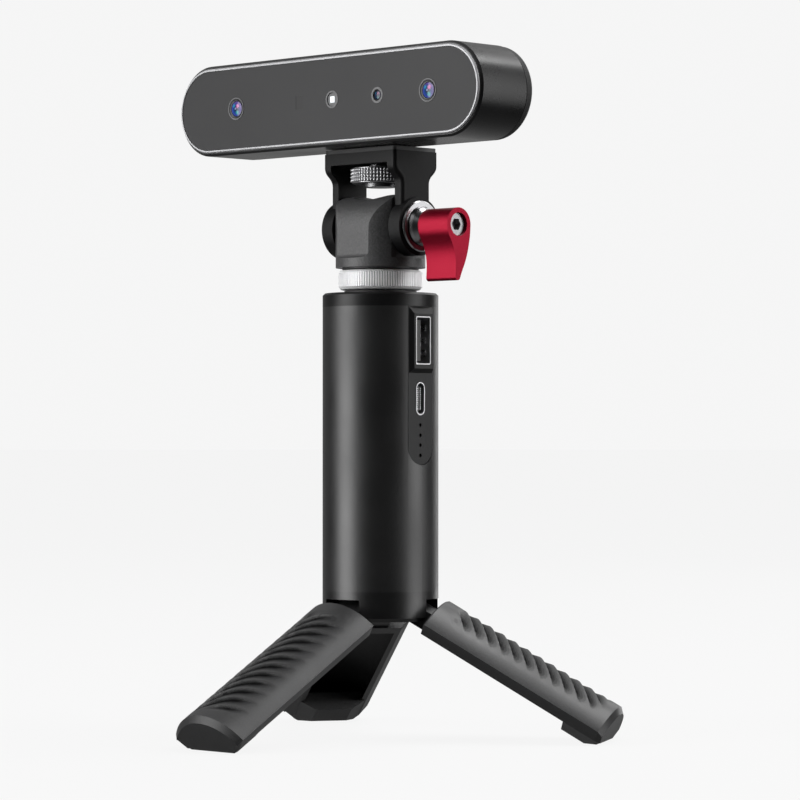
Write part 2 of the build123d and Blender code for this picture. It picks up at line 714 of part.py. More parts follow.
for leg_name, az in AZIMUTHS:
    d, t = radial(az), across(az)

    with BuildPart() as leg:
        # arched channel
        with BuildSketch(section_plane(az, LEG_A0)):
            with BuildLine():
                ThreePointArc((-13.1, 35.46), (0, CREST_N), (13.1, 35.46))
                Polyline((13.1, 35.46), (10.0, 32.3), (-10.0, 32.3), (-13.1, 35.46))
            make_face()
        extrude(amount=LEG_A1 - LEG_A0)
        with BuildSketch(section_plane(az, 0.6)):
            with BuildLine():
                ThreePointArc((-11.3, 35.35), (0, CREST_N - 1.5), (11.3, 35.35))
                Polyline((11.3, 35.35), (8.5, 32.3), (8.5, 31.0), (-8.5, 31.0), (-8.5, 32.3), (-11.3, 35.35))
            make_face()
        extrude(amount=LEG_A1 - 1.5 - 0.6, mode=Mode.SUBTRACT)
        # bevel round the outer end
        v = along(az)
        end = leg.faces().sort_by(Axis((0, 0, 0), (v.X, v.Y, v.Z)))[-1]
        rim_edges = end.outer_wire().edges()
        bottom = rim_edges.sort_by(Axis.Z)[0]
        chamfer([e for e in rim_edges if e.center() != bottom.center()], length=END_BEVEL)
        # hinge tongue
        with BuildSketch(profile_plane(az, -TONGUE_W)):
            with Locations((PIV_A, PIV_N)):
                Circle(2.5)
            with Locations(((PIV_A - 1.5) / 2, PIV_N)):
                Rectangle(-1.5 - PIV_A, 5.0)
        extrude(amount=-2 * TONGUE_W)
        with BuildSketch(profile_plane(az, -20.0)):
            with Locations((PIV_A, PIV_N)):
                Circle(PIN_BORE_R)
        extrude(amount=-40.0, mode=Mode.SUBTRACT)
    save(leg, "leg_" + leg_name)

    with BuildPart() as foot:
        with BuildSketch(profile_plane(az, -12.0)):
            with BuildLine():
                Polyline((43.0, 32.3), (43.0, 29.4), (29.4 * LEG_C / LEG_S, 29.4),
                         (53.9, 53.9 * LEG_S / LEG_C), (53.9, 32.3), (43.0, 32.3))
            make_face()
        extrude(amount=-24.0)
        with BuildSketch(section_plane(az, 40.0)):
            with BuildLine():
                Polyline((-9.6, 32.3), (-5.2, 29.4), (-5.2, 28.0), (5.2, 28.0), (5.2, 29.4), (9.6, 32.3), (-9.6, 32.3))
            make_face()
        extrude(amount=20.0, mode=Mode.INTERSECT)
        # plug that fills the channel above the pad
        with BuildSketch(section_plane(az, 44.0)):
            with BuildLine():
                Polyline((-7.8, 32.1), (-9.4, 34.0), (-9.4, 35.5), (9.4, 35.5), (9.4, 34.0), (7.8, 32.1), (-7.8, 32.1))
            make_face()
        extrude(amount=9.05)
    save(foot, "foot_" + leg_name)

    with BuildPart() as pin:
        pp = Plane(origin=(d.X * PIV_R - t.X * 10.0, d.Y * PIV_R - t.Y * 10.0, PIV_Z), x_dir=(0, 0, 1), z_dir=t)
        with BuildSketch(pp):
            Circle(PIN_R)
        extrude(amount=20.0)
    save(pin, "hinge_pin_" + leg_name)
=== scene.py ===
import bpy
import bmesh
import math
from mathutils import Matrix, Vector


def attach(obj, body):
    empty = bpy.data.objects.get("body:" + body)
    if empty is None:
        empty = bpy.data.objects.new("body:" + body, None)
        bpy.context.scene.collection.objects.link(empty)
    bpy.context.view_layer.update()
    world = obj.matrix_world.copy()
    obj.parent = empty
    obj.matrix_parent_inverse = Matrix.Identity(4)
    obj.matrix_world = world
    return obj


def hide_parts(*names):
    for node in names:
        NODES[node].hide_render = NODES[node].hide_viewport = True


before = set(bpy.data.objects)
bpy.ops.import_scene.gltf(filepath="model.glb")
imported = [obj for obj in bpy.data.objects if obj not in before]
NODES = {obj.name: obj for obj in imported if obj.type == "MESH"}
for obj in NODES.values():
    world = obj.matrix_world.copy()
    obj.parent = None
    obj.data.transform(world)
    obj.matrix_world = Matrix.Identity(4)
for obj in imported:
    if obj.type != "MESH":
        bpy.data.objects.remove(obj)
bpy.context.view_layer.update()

scene = bpy.context.scene
scene.view_settings.view_transform = "Standard"
scene.view_settings.look = "None"
scene.view_settings.exposure = 0.0
scene.view_settings.gamma = 1.0
MM = 0.001
PI = math.pi


# ------------------------------------------------------------------ materials
def new_mat(name):
    m = bpy.data.materials.new(name)
    m.use_nodes = True
    nt = m.node_tree
    return m, nt, nt.nodes["Principled BSDF"]


def link(nt, a, b):
    nt.links.new(a, b)


def coords(nt):
    return nt.nodes.new("ShaderNodeTexCoord").outputs["Object"]


def noise(nt, vec, scale, detail=2.0, rough=0.5, stretch=None):
    if stretch is not None:
        mp = nt.nodes.new("ShaderNodeMapping")
        mp.inputs["Scale"].default_value = stretch
        link(nt, vec, mp.inputs["Vector"])
        vec = mp.outputs["Vector"]
    n = nt.nodes.new("ShaderNodeTexNoise")
    n.inputs["Scale"].default_value = scale
    n.inputs["Detail"].default_value = detail
    n.inputs["Roughness"].default_value = rough
    link(nt, vec, n.inputs["Vector"])
    return n.outputs["Fac"]


def ramp(nt, fac, stops):
    r = nt.nodes.new("ShaderNodeValToRGB")
    el = r.color_ramp.elements
    while len(el) < len(stops):
        el.new(0.5)
    for e, (p, c) in zip(el, stops):
        e.position = p
        e.color = (*c, 1.0) if len(c) == 3 else c
    link(nt, fac, r.inputs["Fac"])
    return r.outputs["Color"]


def remap(nt, fac, lo, hi, a=0.0, b=1.0):
    r = nt.nodes.new("ShaderNodeMapRange")
    r.inputs["From Min"].default_value = a
    r.inputs["From Max"].default_value = b
    r.inputs["To Min"].default_value = lo
    r.inputs["To Max"].default_value = hi
    link(nt, fac, r.inputs["Value"])
    return r.outputs["Result"]


def bump(nt, bs, height, strength, dist):
    b = nt.nodes.new("ShaderNodeBump")
    b.inputs["Strength"].default_value = strength
    b.inputs["Distance"].default_value = dist
    link(nt, height, b.inputs["Height"])
    link(nt, b.outputs["Normal"], bs.inputs["Normal"])
    return b


def shade(c, k):
    return tuple(max(0.0, min(1.0, x * k)) for x in c)


def surface(name, base, rough, metal=0.0, spec=0.5, grain=2600.0, grain_amp=0.25, bump_s=0.25,
            bump_d=0.00004, rvar=0.05, cvar=0.18, blotch=45.0, stretch=None, coat=0.0, coat_r=0.1,
            sheen=0.0, ior=1.5):
    """Satin solid finish: fine grain in colour and bump, slow variation in gloss."""
    m, nt, bs = new_mat(name)
    co = coords(nt)
    fine = noise(nt, co, grain, 3.0, 0.6, stretch)
    slow = noise(nt, co, blotch, 3.0, 0.5)
    fcol = ramp(nt, fine, [(0.30, shade(base, 1 - cvar - grain_amp * 0.4)), (0.70, shade(base, 1 + cvar + grain_amp * 0.4))])
    scol = ramp(nt, slow, [(0.30, shade(base, 1 - cvar * 0.6)), (0.72, shade(base, 1 + cvar * 0.6))])
    mx = nt.nodes.new("ShaderNodeMix")
    mx.data_type = "RGBA"
    mx.inputs["Factor"].default_value = 0.5
    link(nt, fcol, mx.inputs[6])
    link(nt, scol, mx.inputs[7])
    link(nt, mx.outputs[2], bs.inputs["Base Color"])
    add = nt.nodes.new("ShaderNodeMath")
    add.operation = "ADD"
    link(nt, remap(nt, slow, -rvar, rvar, 0.3, 0.7), add.inputs[0])
    link(nt, remap(nt, fine, rough - rvar * 0.7, rough + rvar * 0.7, 0.3, 0.7), add.inputs[1])
    link(nt, add.outputs[0], bs.inputs["Roughness"])
    bs.inputs["Metallic"].default_value = metal
    bs.inputs["Specular IOR Level"].default_value = spec
    bs.inputs["IOR"].default_value = ior
    bs.inputs["Coat Weight"].default_value = coat
    bs.inputs["Coat Roughness"].default_value = coat_r
    if sheen:
        bs.inputs["Sheen Weight"].default_value = sheen
    if bump_s:
        bump(nt, bs, fine, bump_s, bump_d)
    return m


M = {}
M["tube"] = surface("anodised_black", (0.0038, 0.0038, 0.0041), 0.43, spec=0.66, grain=3200, grain_amp=0.9, bump_s=0.40, bump_d=0.00003)
M["cap"] = surface("anodised_cap", (0.0026, 0.0026, 0.0029), 0.40, spec=0.30, grain=3200, grain_amp=0.7, bump_s=0.30, bump_d=0.00003)
M["hub"] = surface("anodised_hub", (0.0035, 0.0035, 0.0038), 0.38, spec=0.55, grain=3000, grain_amp=0.5, bump_s=0.25, bump_d=0.00003)
M["yoke"] = surface("yoke_black", (0.0040, 0.0040, 0.0043), 0.50, spec=0.15, grain=2200, grain_amp=0.9, bump_s=0.55, bump_d=0.00005)
M["cast"] = surface("mount_black", (0.044, 0.044, 0.045), 0.50, spec=0.60, grain=1900, grain_amp=1.2, bump_s=0.8, bump_d=0.00012, cvar=0.26)
M["shell"] = surface("head_black", (0.0038, 0.0038, 0.0041), 0.31, spec=0.40, grain=3400, grain_amp=0.35, bump_s=0.10, bump_d=0.00002)
M["cover"] = surface("cover_black", (0.026, 0.026, 0.0265), 0.64, spec=0.18, grain=3000, grain_amp=0.5, bump_s=0.25, bump_d=0.00003)
M["window"] = surface("window_grey", (0.032, 0.032, 0.033), 0.50, spec=0.24, grain=3800, grain_amp=0.30, bump_s=0.10, bump_d=0.00002, cvar=0.06, blotch=18)
M["trim"] = surface("trim_bright", (0.36, 0.36, 0.37), 0.48, metal=0.60, spec=0.4, grain=2200, grain_amp=0.1, bump_s=0.05, bump_d=0.00002, cvar=0.04)
M["silver"] = surface("knurl_bright", (0.93, 0.93, 0.94), 0.56, metal=0.28, grain=2200, grain_amp=0.08, bump_s=0.08, bump_d=0.00002, cvar=0.03)
M["steel"] = surface("machined_steel", (0.55, 0.55, 0.56), 0.30, metal=1.0, grain=2600, grain_amp=0.2, bump_s=0.12, bump_d=0.00002, cvar=0.1)
M["chrome"] = surface("polished_chrome", (0.38, 0.38, 0.39), 0.24, metal=1.0, grain=1800, grain_amp=0.08, bump_s=0.05, bump_d=0.00001, cvar=0.05, rvar=0.03)
M["socket"] = surface("bolt_steel", (0.30, 0.30, 0.305), 0.36, metal=0.9, grain=2600, grain_amp=0.2, bump_s=0.15, bump_d=0.00002)
M["red"] = surface("anodised_red", (0.225, 0.0006, 0.0150), 0.42, metal=0.80, spec=0.30, grain=3600, grain_amp=0.10, bump_s=0.10, bump_d=0.00002, cvar=0.05, coat=0.06, coat_r=0.22)
M["rubber"] = surface("rubber_black", (0.040, 0.040, 0.0405), 0.58, spec=0.4, grain=1800, grain_amp=0.4, bump_s=0.35, bump_d=0.00005)
M["panel"] = surface("panel_black", (0.0042, 0.0042, 0.0046), 0.46, spec=0.28, grain=3400, grain_amp=0.4, bump_s=0.15, bump_d=0.00002)
M["plastic"] = surface("connector_black", (0.010, 0.010, 0.010), 0.45, grain=2600, grain_amp=0.3, bump_s=0.15, bump_d=0.00002)
M["guide"] = surface("light_guide", (0.0012, 0.0012, 0.0012), 0.55, spec=0.12, grain=2600, grain_amp=0.2, bump_s=0.05, bump_d=0.00001)
M["leg"] = surface("leg_black", (0.019, 0.019, 0.0195), 0.44, spec=0.44, grain=2400, grain_amp=0.9, bump_s=0.50, bump_d=0.00005, cvar=0.2)
# painted shade: four darker, less glossy copies of the leg finish, laid on the flutes by depth
for lv, (kb, ks) in enumerate(((0.74, 0.33), (0.50, 0.22), (0.30, 0.12), (0.14, 0.05))):
    M["leg%d" % (lv + 1)] = surface("leg_flute_%d" % (lv + 1), shade((0.019, 0.019, 0.0195), kb), 0.46 + 0.04 * lv, spec=ks, grain=2400,
                                    grain_amp=0.8, bump_s=0.45, bump_d=0.00005, cvar=0.2)
M["pcb"] = surface("solder_mask", (0.008, 0.065, 0.032), 0.35, grain=900, grain_amp=0.3, bump_s=0.2, bump_d=0.00004)
M["wrap"] = surface("cell_sleeve", (0.02, 0.07, 0.16), 0.28, grain=1500, grain_amp=0.1, bump_s=0.08, bump_d=0.00002)
M["optic"] = surface("optic_black", (0.006, 0.006, 0.007), 0.35, spec=0.45, grain=3000, grain_amp=0.3, bump_s=0.1, bump_d=0.00002)
M["faint"] = surface("projector_tint", (0.0295, 0.0293, 0.0300), 0.50, spec=0.24, grain=3800, grain_amp=0.25, bump_s=0.08, bump_d=0.00002, cvar=0.06, blotch=18)
M["port"] = surface("port_steel", (0.50, 0.50, 0.51), 0.36, metal=0.9, grain=2600, grain_amp=0.15, bump_s=0.08, bump_d=0.00001, cvar=0.05)
M["ringgrey"] = surface("bezel_grey", (0.125, 0.125, 0.128), 0.45, spec=0.4, grain=3000, grain_amp=0.2, bump_s=0.06, bump_d=0.00001, cvar=0.05)
M["wheel"] = surface("wheel_steel", (0.42, 0.42, 0.43), 0.34, metal=0.92, grain=2400, grain_amp=0.15, bump_s=0.10, bump_d=0.00002, cvar=0.06)
# painted shade: near-black material for the floors of the knurl grooves
M["root"] = surface("knurl_root", (0.07, 0.07, 0.072), 0.55, metal=0.4, grain=2400, grain_amp=0.15, bump_s=0.10, bump_d=0.00002)
M["stub"] = surface("stud_steel", (0.20, 0.20, 0.205), 0.40, metal=0.9, grain=2600, grain_amp=0.2, bump_s=0.12, bump_d=0.00002)
M["gold"] = surface("contact_gold", (0.90, 0.62, 0.25), 0.25, metal=1.0, grain=2600, grain_amp=0.1, bump_s=0.05, bump_d=0.00001)


def lit(name, base, power):
    m, nt, bs = new_mat(name)
    co = coords(nt)
    n = noise(nt, co, 2500.0, 2.0)
    c = ramp(nt, n, [(0.3, shade(base, 0.94)), (0.7, base)])
    link(nt, c, bs.inputs["Base Color"])
    link(nt, c, bs.inputs["Emission Color"])
    bs.inputs["Emission Strength"].default_value = power
    bs.inputs["Roughness"].default_value = 0.4
    return m




def led_mat(name, x, z, half):
    """Grey round with a lit square in its middle that fades softly at its edge."""
    m, nt, bs = new_mat(name)
    co = coords(nt)
    sub = nt.nodes.new("ShaderNodeVectorMath")
    sub.operation = "SUBTRACT"
    link(nt, co, sub.inputs[0])
    sub.inputs[1].default_value = (x, 0.0, z)
    ab = nt.nodes.new("ShaderNodeVectorMath")
    ab.operation = "ABSOLUTE"
    link(nt, sub.outputs[0], ab.inputs[0])
    sep = nt.nodes.new("ShaderNodeSeparateXYZ")
    link(nt, ab.outputs[0], sep.inputs[0])
    mxx = nt.nodes.new("ShaderNodeMath")
    mxx.operation = "MAXIMUM"
    link(nt, sep.outputs["X"], mxx.inputs[0])
    link(nt, sep.outputs["Z"], mxx.inputs[1])
    sq = remap(nt, mxx.outputs[0], 1.0, 0.0, half * 0.75, half * 1.35)
    n = noise(nt, co, 2600.0, 2.0)
    col = ramp(nt, n, [(0.3, (0.075, 0.075, 0.078)), (0.7, (0.10, 0.10, 0.104))])
    link(nt, col, bs.inputs["Base Color"])
    em = ramp(nt, sq, [(0.0, (0.0, 0.0, 0.0)), (0.5, (0.55, 0.6, 0.62)), (1.0, (1.0, 1.0, 1.0))])
    link(nt, em, bs.inputs["Emission Color"])
    bs.inputs["Emission Strength"].default_value = 1.6
    bs.inputs["Roughness"].default_value = 0.45
    return m


M["led"] = led_mat("emitter_white", -0.0030, 0.1753, 0.00072)


def lens_mat(name, x, z, r, tint, power=1.0):
    """Coated glass with painted reflections: tint gives rings of colour about the optical axis with a deep pupil in
    the middle, and the glass glows faintly in these colours.
    """
    m, nt, bs = new_mat(name)
    co = coords(nt)
    mp = nt.nodes.new("ShaderNodeMapping")
    mp.inputs["Location"].default_value = (-x / r, 0.0, -z / r)
    mp.inputs["Scale"].default_value = (1 / r, 0.0, 1 / r)
    link(nt, co, mp.inputs["Vector"])
    ln = nt.nodes.new("ShaderNodeVectorMath")
    ln.operation = "LENGTH"
    link(nt, mp.outputs["Vector"], ln.inputs[0])
    rings = ramp(nt, ln.outputs["Value"], tint)
    # painted reflection: the coating colour shifts across the glass, pinker to the upper right, bluer to the lower
    # left
    sep = nt.nodes.new("ShaderNodeSeparateXYZ")
    link(nt, mp.outputs["Vector"], sep.inputs[0])
    ad = nt.nodes.new("ShaderNodeMath")
    ad.operation = "ADD"
    link(nt, sep.outputs["X"], ad.inputs[0])
    link(nt, sep.outputs["Z"], ad.inputs[1])
    side = ramp(nt, remap(nt, ad.outputs[0], 0.0, 1.0, -1.3, 1.3),
                [(0.05, (0.35, 0.75, 1.25)), (0.5, (0.75, 0.7, 1.0)), (0.95, (1.3, 0.75, 1.0))])
    mx = nt.nodes.new("ShaderNodeMix")
    mx.data_type = "RGBA"
    mx.blend_type = "MULTIPLY"
    mx.inputs["Factor"].default_value = 1.0
    link(nt, rings, mx.inputs[6])
    link(nt, side, mx.inputs[7])
    out = mx.outputs[2]
    # painted reflections of the inner elements as ghost spots: rose above, teal below
    for (sx, sz, size, colour) in ((0.22, 0.30, 0.30, (0.62, 0.16, 0.40)), (-0.10, 0.02, 0.16, (0.30, 0.34, 0.62)),
                                   (0.16, -0.42, 0.30, (0.03, 0.30, 0.30)), (-0.38, 0.34, 0.26, (0.03, 0.24, 0.40))):
        sp = nt.nodes.new("ShaderNodeVectorMath")
        sp.operation = "DISTANCE"
        link(nt, mp.outputs["Vector"], sp.inputs[0])
        sp.inputs[1].default_value = (sx, 0.0, sz)
        ad2 = nt.nodes.new("ShaderNodeMix")
        ad2.data_type = "RGBA"
        link(nt, remap(nt, sp.outputs["Value"], 0.85, 0.0, size * 0.35, size), ad2.inputs["Factor"])
        link(nt, out, ad2.inputs[6])
        ad2.inputs[7].default_value = (*shade(colour, power), 1.0)
        out = ad2.outputs[2]
    link(nt, out, bs.inputs["Base Color"])
    # painted light: the glass glows faintly in its painted reflection colours
    link(nt, out, bs.inputs["Emission Color"])
    bs.inputs["Emission Strength"].default_value = 0.16
    bs.inputs["Roughness"].default_value = 0.16
    bs.inputs["Specular IOR Level"].default_value = 0.30
    return m


# ------------------------------------------------------------------- meshing
def obj_from(name, verts, faces, mat, smooth=True, mats=None, face_mats=None):
    me = bpy.data.meshes.new(name)
    me.from_pydata([tuple(v) for v in verts], [], faces)
    me.validate()
    me.update()
    o = bpy.data.objects.new(name, me)
    scene.collection.objects.link(o)
    for x in (mats or [mat]):
        me.materials.append(x)
    if face_mats:
        for p, i in zip(me.polygons, face_mats):
            p.material_index = i
    if smooth:
        me.polygons.foreach_set("use_smooth", [True] * len(me.polygons))
    return o


def recalc(o):
    bm = bmesh.new()
    bm.from_mesh(o.data)
    bmesh.ops.remove_doubles(bm, verts=bm.verts, dist=1e-7)
    bmesh.ops.recalc_face_normals(bm, faces=bm.faces)
    bm.to_mesh(o.data)
    bm.free()


def sharp(o, deg=35.0):
    """Mark edges sharper than deg so smooth shading keeps them crisp."""
    bm = bmesh.new()
    bm.from_mesh(o.data)
    lim = math.radians(deg)
    for e in bm.edges:
        if len(e.link_faces) == 2 and e.calc_face_angle(0.0) > lim:
            e.smooth = False
    bm.to_mesh(o.data)
    bm.free()


def bevel(o, width, deg=32.0, seg=3):
    b = o.modifiers.new("edge", "BEVEL")
    b.width = width
    b.segments = seg
    b.limit_method = "ANGLE"
    b.angle_limit = math.radians(deg)
    b.use_clamp_overlap = True
    b.harden_normals = False
    w = o.modifiers.new("normals", "WEIGHTED_NORMAL")
    w.keep_sharp = True
    return b


# ---------------------------------------------------------------------- legs
LC, LS = 0.8634, 0.5045
AZ = {"front": 0.0, "right": 120.0, "left": -120.0}
PIV_A, PIV_N = 9.0 * LC - 35.6 * LS, 9.0 * LS + 35.6 * LC


def leg_frame(az):
    r = math.radians(az)
    d = Vector((math.sin(r), -math.cos(r), 0.0))
    a = Vector((d.x * LC, d.y * LC, -LS))
    n = Vector((d.x * LS, d.y * LS, LC))
    t = Vector((-d.y, d.x, 0.0))
    return a, t, n


def smooth01(x):
    x = max(0.0, min(1.0, x))
    return x * x * (3 - 2 * x)


DEEP = 0.86


def groove(a, w):
    """Depth of the sculpted diagonal flutes at a point of the crown, in mm."""
    env = smooth01((a - 1.2) / 4.0) * smooth01((50.8 - a) / 4.2)
    env *= smooth01((10.6 - w) / 6.2) * smooth01((w + 10.6) / 4.6)
    if env <= 0.0:
        return 0.0
    ph = (a + 0.56 * w - 0.021 * w * w) / 4.07
    s = ph - math.floor(ph)
    k = 0.17
    p = smooth01(s / k) if s < k else 1.0 - (s - k) / (1 - k)
    return DEEP * env * p


def flute_painted_shade_level(a, w):
    """Which of the five painted shades of the finish lies at this depth of a flute: the deeper, the darker and less
    glossy (painted crease shade).
    """
    d = groove(a, w) / DEEP
    return sum(1 for t in (0.22, 0.42, 0.62, 0.82) if d > t)


def build_leg(name, az):
    A, T, N = leg_frame(az)

    def P(a, w, n):
        return (A * a + T * w + N * n) * MM

    A0, A1, AC0, AC1 = -2.7, 54.6, 0.6, 53.1
    steps = [A0, A0 + 0.35]
    k = 0.0
    while k < 52.0:
        steps.append(k)
        k += 0.26
    steps += [AC0, 52.4, 52.9, AC1, 53.6, 54.1, A1]
    steps = sorted(set(round(x, 4) for x in steps))
    RO, RI, NC = 16.0, 14.5, 26.27
    half = math.asin(13.1 / RO)
    na = 72
    outer = [(-10.0, 32.3, 0), (-11.5, 33.83, 0), (-12.95, 35.31, 0)]
    for i in range(na + 1):
        th = -half + 2 * half * i / na
        outer.append((RO * math.sin(th), NC + RO * math.cos(th), 1))
    outer += [(12.95, 35.31, 0), (11.5, 33.83, 0), (10.0, 32.3, 0)]
    ih = math.asin(11.3 / RI)
    inner = [(8.5, 32.3), (9.9, 33.83), (11.3, NC + RI * math.cos(ih))]
    for i in range(1, 24):
        th = ih - 2 * ih * i / 24
        inner.append((RI * math.sin(th), NC + RI * math.cos(th)))
    inner += [(-11.3, NC + RI * math.cos(ih)), (-9.9, 33.83), (-8.5, 32.3)]

    verts, faces = [], []

    def add(p):
        verts.append(p)
        return len(verts) - 1

    og, ig = {}, {}
    for a in steps:
        row = []
        for (w, n, crown) in outer:
            d = groove(a, w) if crown else 0.0
            ww, nn = w, n
            if crown and d > 0:
                L = math.hypot(w, n - NC)
                ww -= w / L * d
                nn -= (n - NC) / L * d
            # bevel round the outer end, small round at the hub end
            cut = max(0.0, a - (A1 - 1.5)) + (0.3 if a == A0 else 0.0)
            if cut > 0.0:
                k = 1.0 - cut / RO
                ww = w * k if crown else w * (1.0 - cut / 13.1)
                nn = NC + (nn - NC) * k if crown else 32.3 + (nn - 32.3) * (1.0 - cut / 8.0)
            row.append(add(P(a, ww, nn)))
        og[a] = row
        if AC0 <= a <= AC1:
            ig[a] = [add(P(a, w, n)) for (w, n) in inner]
        else:
            ig[a] = [add(P(a, 8.5, 32.3)), add(P(a, -8.5, 32.3))]
    m = len(outer)
    fm = {}
    for a, b in zip(steps, steps[1:]):
        ra, rb = og[a], og[b]
        for i in range(m - 1):
            if outer[i][2] and outer[i + 1][2]:
                # painted crease shade: a crown face takes a darker copy of the finish the deeper its flute
                fm[len(faces)] = flute_painted_shade_level((a + b) / 2, (outer[i][0] + outer[i + 1][0]) / 2)
            faces.append((ra[i], ra[i + 1], rb[i + 1], rb[i]))
        ia, ib = ig[a], ig[b]
        chan = AC0 <= a and b <= AC1
        first_a, last_a = ia[0], ia[-1]
        first_b, last_b = ib[0], ib[-1]
        faces.append((ra[m - 1], first_a, first_b, rb[m - 1]))
        faces.append((last_a, ra[0], rb[0], last_b))
        if chan:
            for i in range(len(inner) - 1):
                faces.append((ia[i], ia[i + 1], ib[i + 1], ib[i]))
        else:
            faces.append((first_a, last_a, last_b, first_b))
    # end caps and the inner end walls
    faces.append(tuple(og[A0]) + (ig[A0][0], ig[A0][1]))
    faces.append(tuple(reversed(og[A1])) + (ig[A1][1], ig[A1][0]))
    faces.append(tuple(ig[AC0]))
    faces.append(tuple(reversed(ig[AC1])))
    # the extra slots carry the painted flute shade copies of the leg finish
    o = obj_from(name, verts, faces, M["leg"], mats=[M["leg"], M["leg1"], M["leg2"], M["leg3"], M["leg4"]],
                 face_mats=[fm.get(i, 0) for i in range(len(faces))])
    recalc(o)
    sharp(o, 28.0)
    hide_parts(name.replace("_fluted", ""))
    # hinge tongue with its pin eye
    tv, tf = [], []
    prof = []
    for i in range(25):
        th = PI / 2 + PI * i / 24
        prof.append((PIV_A + 2.5 * math.cos(th), PIV_N + 2.5 * math.sin(th)))
    prof += [(-2.69, PIV_N - 2.5), (-2.69, PIV_N + 2.5)]
    hole = [(PIV_A + 1.06 * math.cos(2 * PI * i / 24), PIV_N + 1.06 * math.sin(2 * PI * i / 24)) for i in range(24)]
    bm = bmesh.new()
    rings = []
    for w in (-6.1, 6.1):
        po = [bm.verts.new(P(p[0], w, p[1])) for p in prof]
        ph = [bm.verts.new(P(p[0], w, p[1])) for p in hole]
        rings.append((po, ph))
        eo = [bm.edges.new((po[i], po[(i + 1) % len(po)])) for i in range(len(po))]
        eh = [bm.edges.new((ph[i], ph[(i + 1) % len(ph)])) for i in range(len(ph))]
        bmesh.ops.triangle_fill(bm, use_beauty=True, use_dissolve=False, edges=eo + eh)
    for j in (0, 1):
        ra, rb = rings[0][j], rings[1][j]
        for i in range(len(ra)):
            bm.faces.new((ra[i], ra[(i + 1) % len(ra)], rb[(i + 1) % len(ra)], rb[i]))
    bmesh.ops.recalc_face_normals(bm, faces=bm.faces)
    me = bpy.data.meshes.new(name + "_tongue")
    bm.to_mesh(me)
    bm.free()
    tg = bpy.data.objects.new(name + "_tongue", me)
    scene.collection.objects.link(tg)
    me.materials.append(M["leg"])
    me.polygons.foreach_set("use_smooth", [True] * len(me.polygons))
    sharp(tg, 30.0)
    return o, tg


for key, az in AZ.items():
    leg, tongue = build_leg("leg_%s_fluted" % key, az)
    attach(leg, "leg_" + key)
    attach(tongue, "leg_" + key)


# ---------------------------------------------------------- turned, knurled parts
def revolve_profile(name, prof, mat, seg=96, cx=0.0, cy=0.0, radial=None, dark=None):
    """Closed ring from a closed (r, z) outline in mm about Z; radial(k, i, r, z) may move r, and faces where dark(k,
    i) holds take the painted groove shade material.
    """
    verts, faces, fm = [], [], []
    n = len(prof)
    for k in range(seg):
        th = 2 * PI * k / seg
        for i, (r, z) in enumerate(prof):
            rr = radial(k, i, r, z) if radial else r
            verts.append(((cx + rr * math.cos(th)) * MM, (cy + rr * math.sin(th)) * MM, z * MM))
    for k in range(seg):
        k2 = (k + 1) % seg
        for i in range(n):
            j = (i + 1) % n
            faces.append((k * n + i, k2 * n + i, k2 * n + j, k * n + j))
            fm.append(1 if dark and dark(k, i) else 0)
    o = obj_from(name, verts, faces, mat, mats=[mat, M["root"]] if dark else None, face_mats=fm if dark else None)
    recalc(o)
    sharp(o, 40.0)
    return o


KN = 100
prof = [(3.22, 123.4), (10.7, 123.4), (11.0, 123.5), (11.22, 123.85), (11.6, 124.15), (11.6, 124.9), (11.6, 125.8),
        (11.6, 126.7), (11.6, 127.55), (11.6, 128.1), (11.22, 128.38), (11.0, 128.7), (10.7, 128.8), (3.22, 128.8)]
SUB = 6


def knurl(k, i, r, z):
    if 4 <= i <= 9:
        ph = (k % SUB) / SUB
        return r - (0.32 if 0.1 < ph < 0.4 else 0.0)
    return r


# painted shade: the floor face of each knurl groove takes the dark material
def root(k, i):
    return 4 <= i < 9 and k % SUB == 1


ring = revolve_profile("lock_ring_knurled", prof, M["silver"], seg=KN * SUB, radial=knurl, dark=root)
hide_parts("lock_ring")
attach(ring, "lock_ring")

# thumb wheel: four rows of round studs between two plain rims
rows = 4
zz0, zz1 = 152.7, 157.2
prof = [(3.15, zz0), (7.5, zz0), (7.8, zz0 + 0.12), (7.9, zz0 + 0.30)]
span0, span1 = zz0 + 0.34, zz1 - 0.34
per = 8
for i in range(rows * per + 1):
    prof.append((7.9, span0 + (span1 - span0) * i / (rows * per)))
prof += [(7.9, zz1 - 0.30), (7.8, zz1 - 0.12), (7.5, zz1), (3.15, zz1)]
NB, BS = 54, 8


def beads(k, i, r, z):
    j = i - 4
    if 0 <= j <= rows * per:
        row = min(rows - 1, int(j / per))
        v = (j - row * per) / per * 2 - 1
        sh = 0.0
        u = ((k / BS + sh) % 1.0) * 2 - 1
        q = 1 - u * u - v * v
        return r + (0.46 * math.sqrt(q) if q > 0 else 0.0)
    return r


wheel = revolve_profile("thumb_wheel_studded", prof, M["wheel"], seg=NB * BS, radial=beads)
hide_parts("thumb_wheel")
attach(wheel, "thumb")


# ------------------------------------------------------------------- lenses
def turned_y(name, x, z, prof, mats, idx, seg=64):
    """Surface turned about the Y axis through (x, z); prof is (r, y) in mm, idx the material of each band."""
    verts, faces, fm = [], [], []
    n = len(prof)
    for k in range(seg):
        th = 2 * PI * k / seg
        for (r, y) in prof:
            verts.append(((x + r * math.cos(th)) * MM, y * MM, (z + r * math.sin(th)) * MM))
    for k in range(seg):
        k2 = (k + 1) % seg
        for i in range(n - 1):
            faces.append((k * n + i, k2 * n + i, k2 * n + i + 1, k * n + i + 1))
            fm.append(idx[i])
    o = obj_from(name, verts, faces, mats[0], mats=mats, face_mats=fm)
    recalc(o)
    sharp(o, 40.0)
    return o


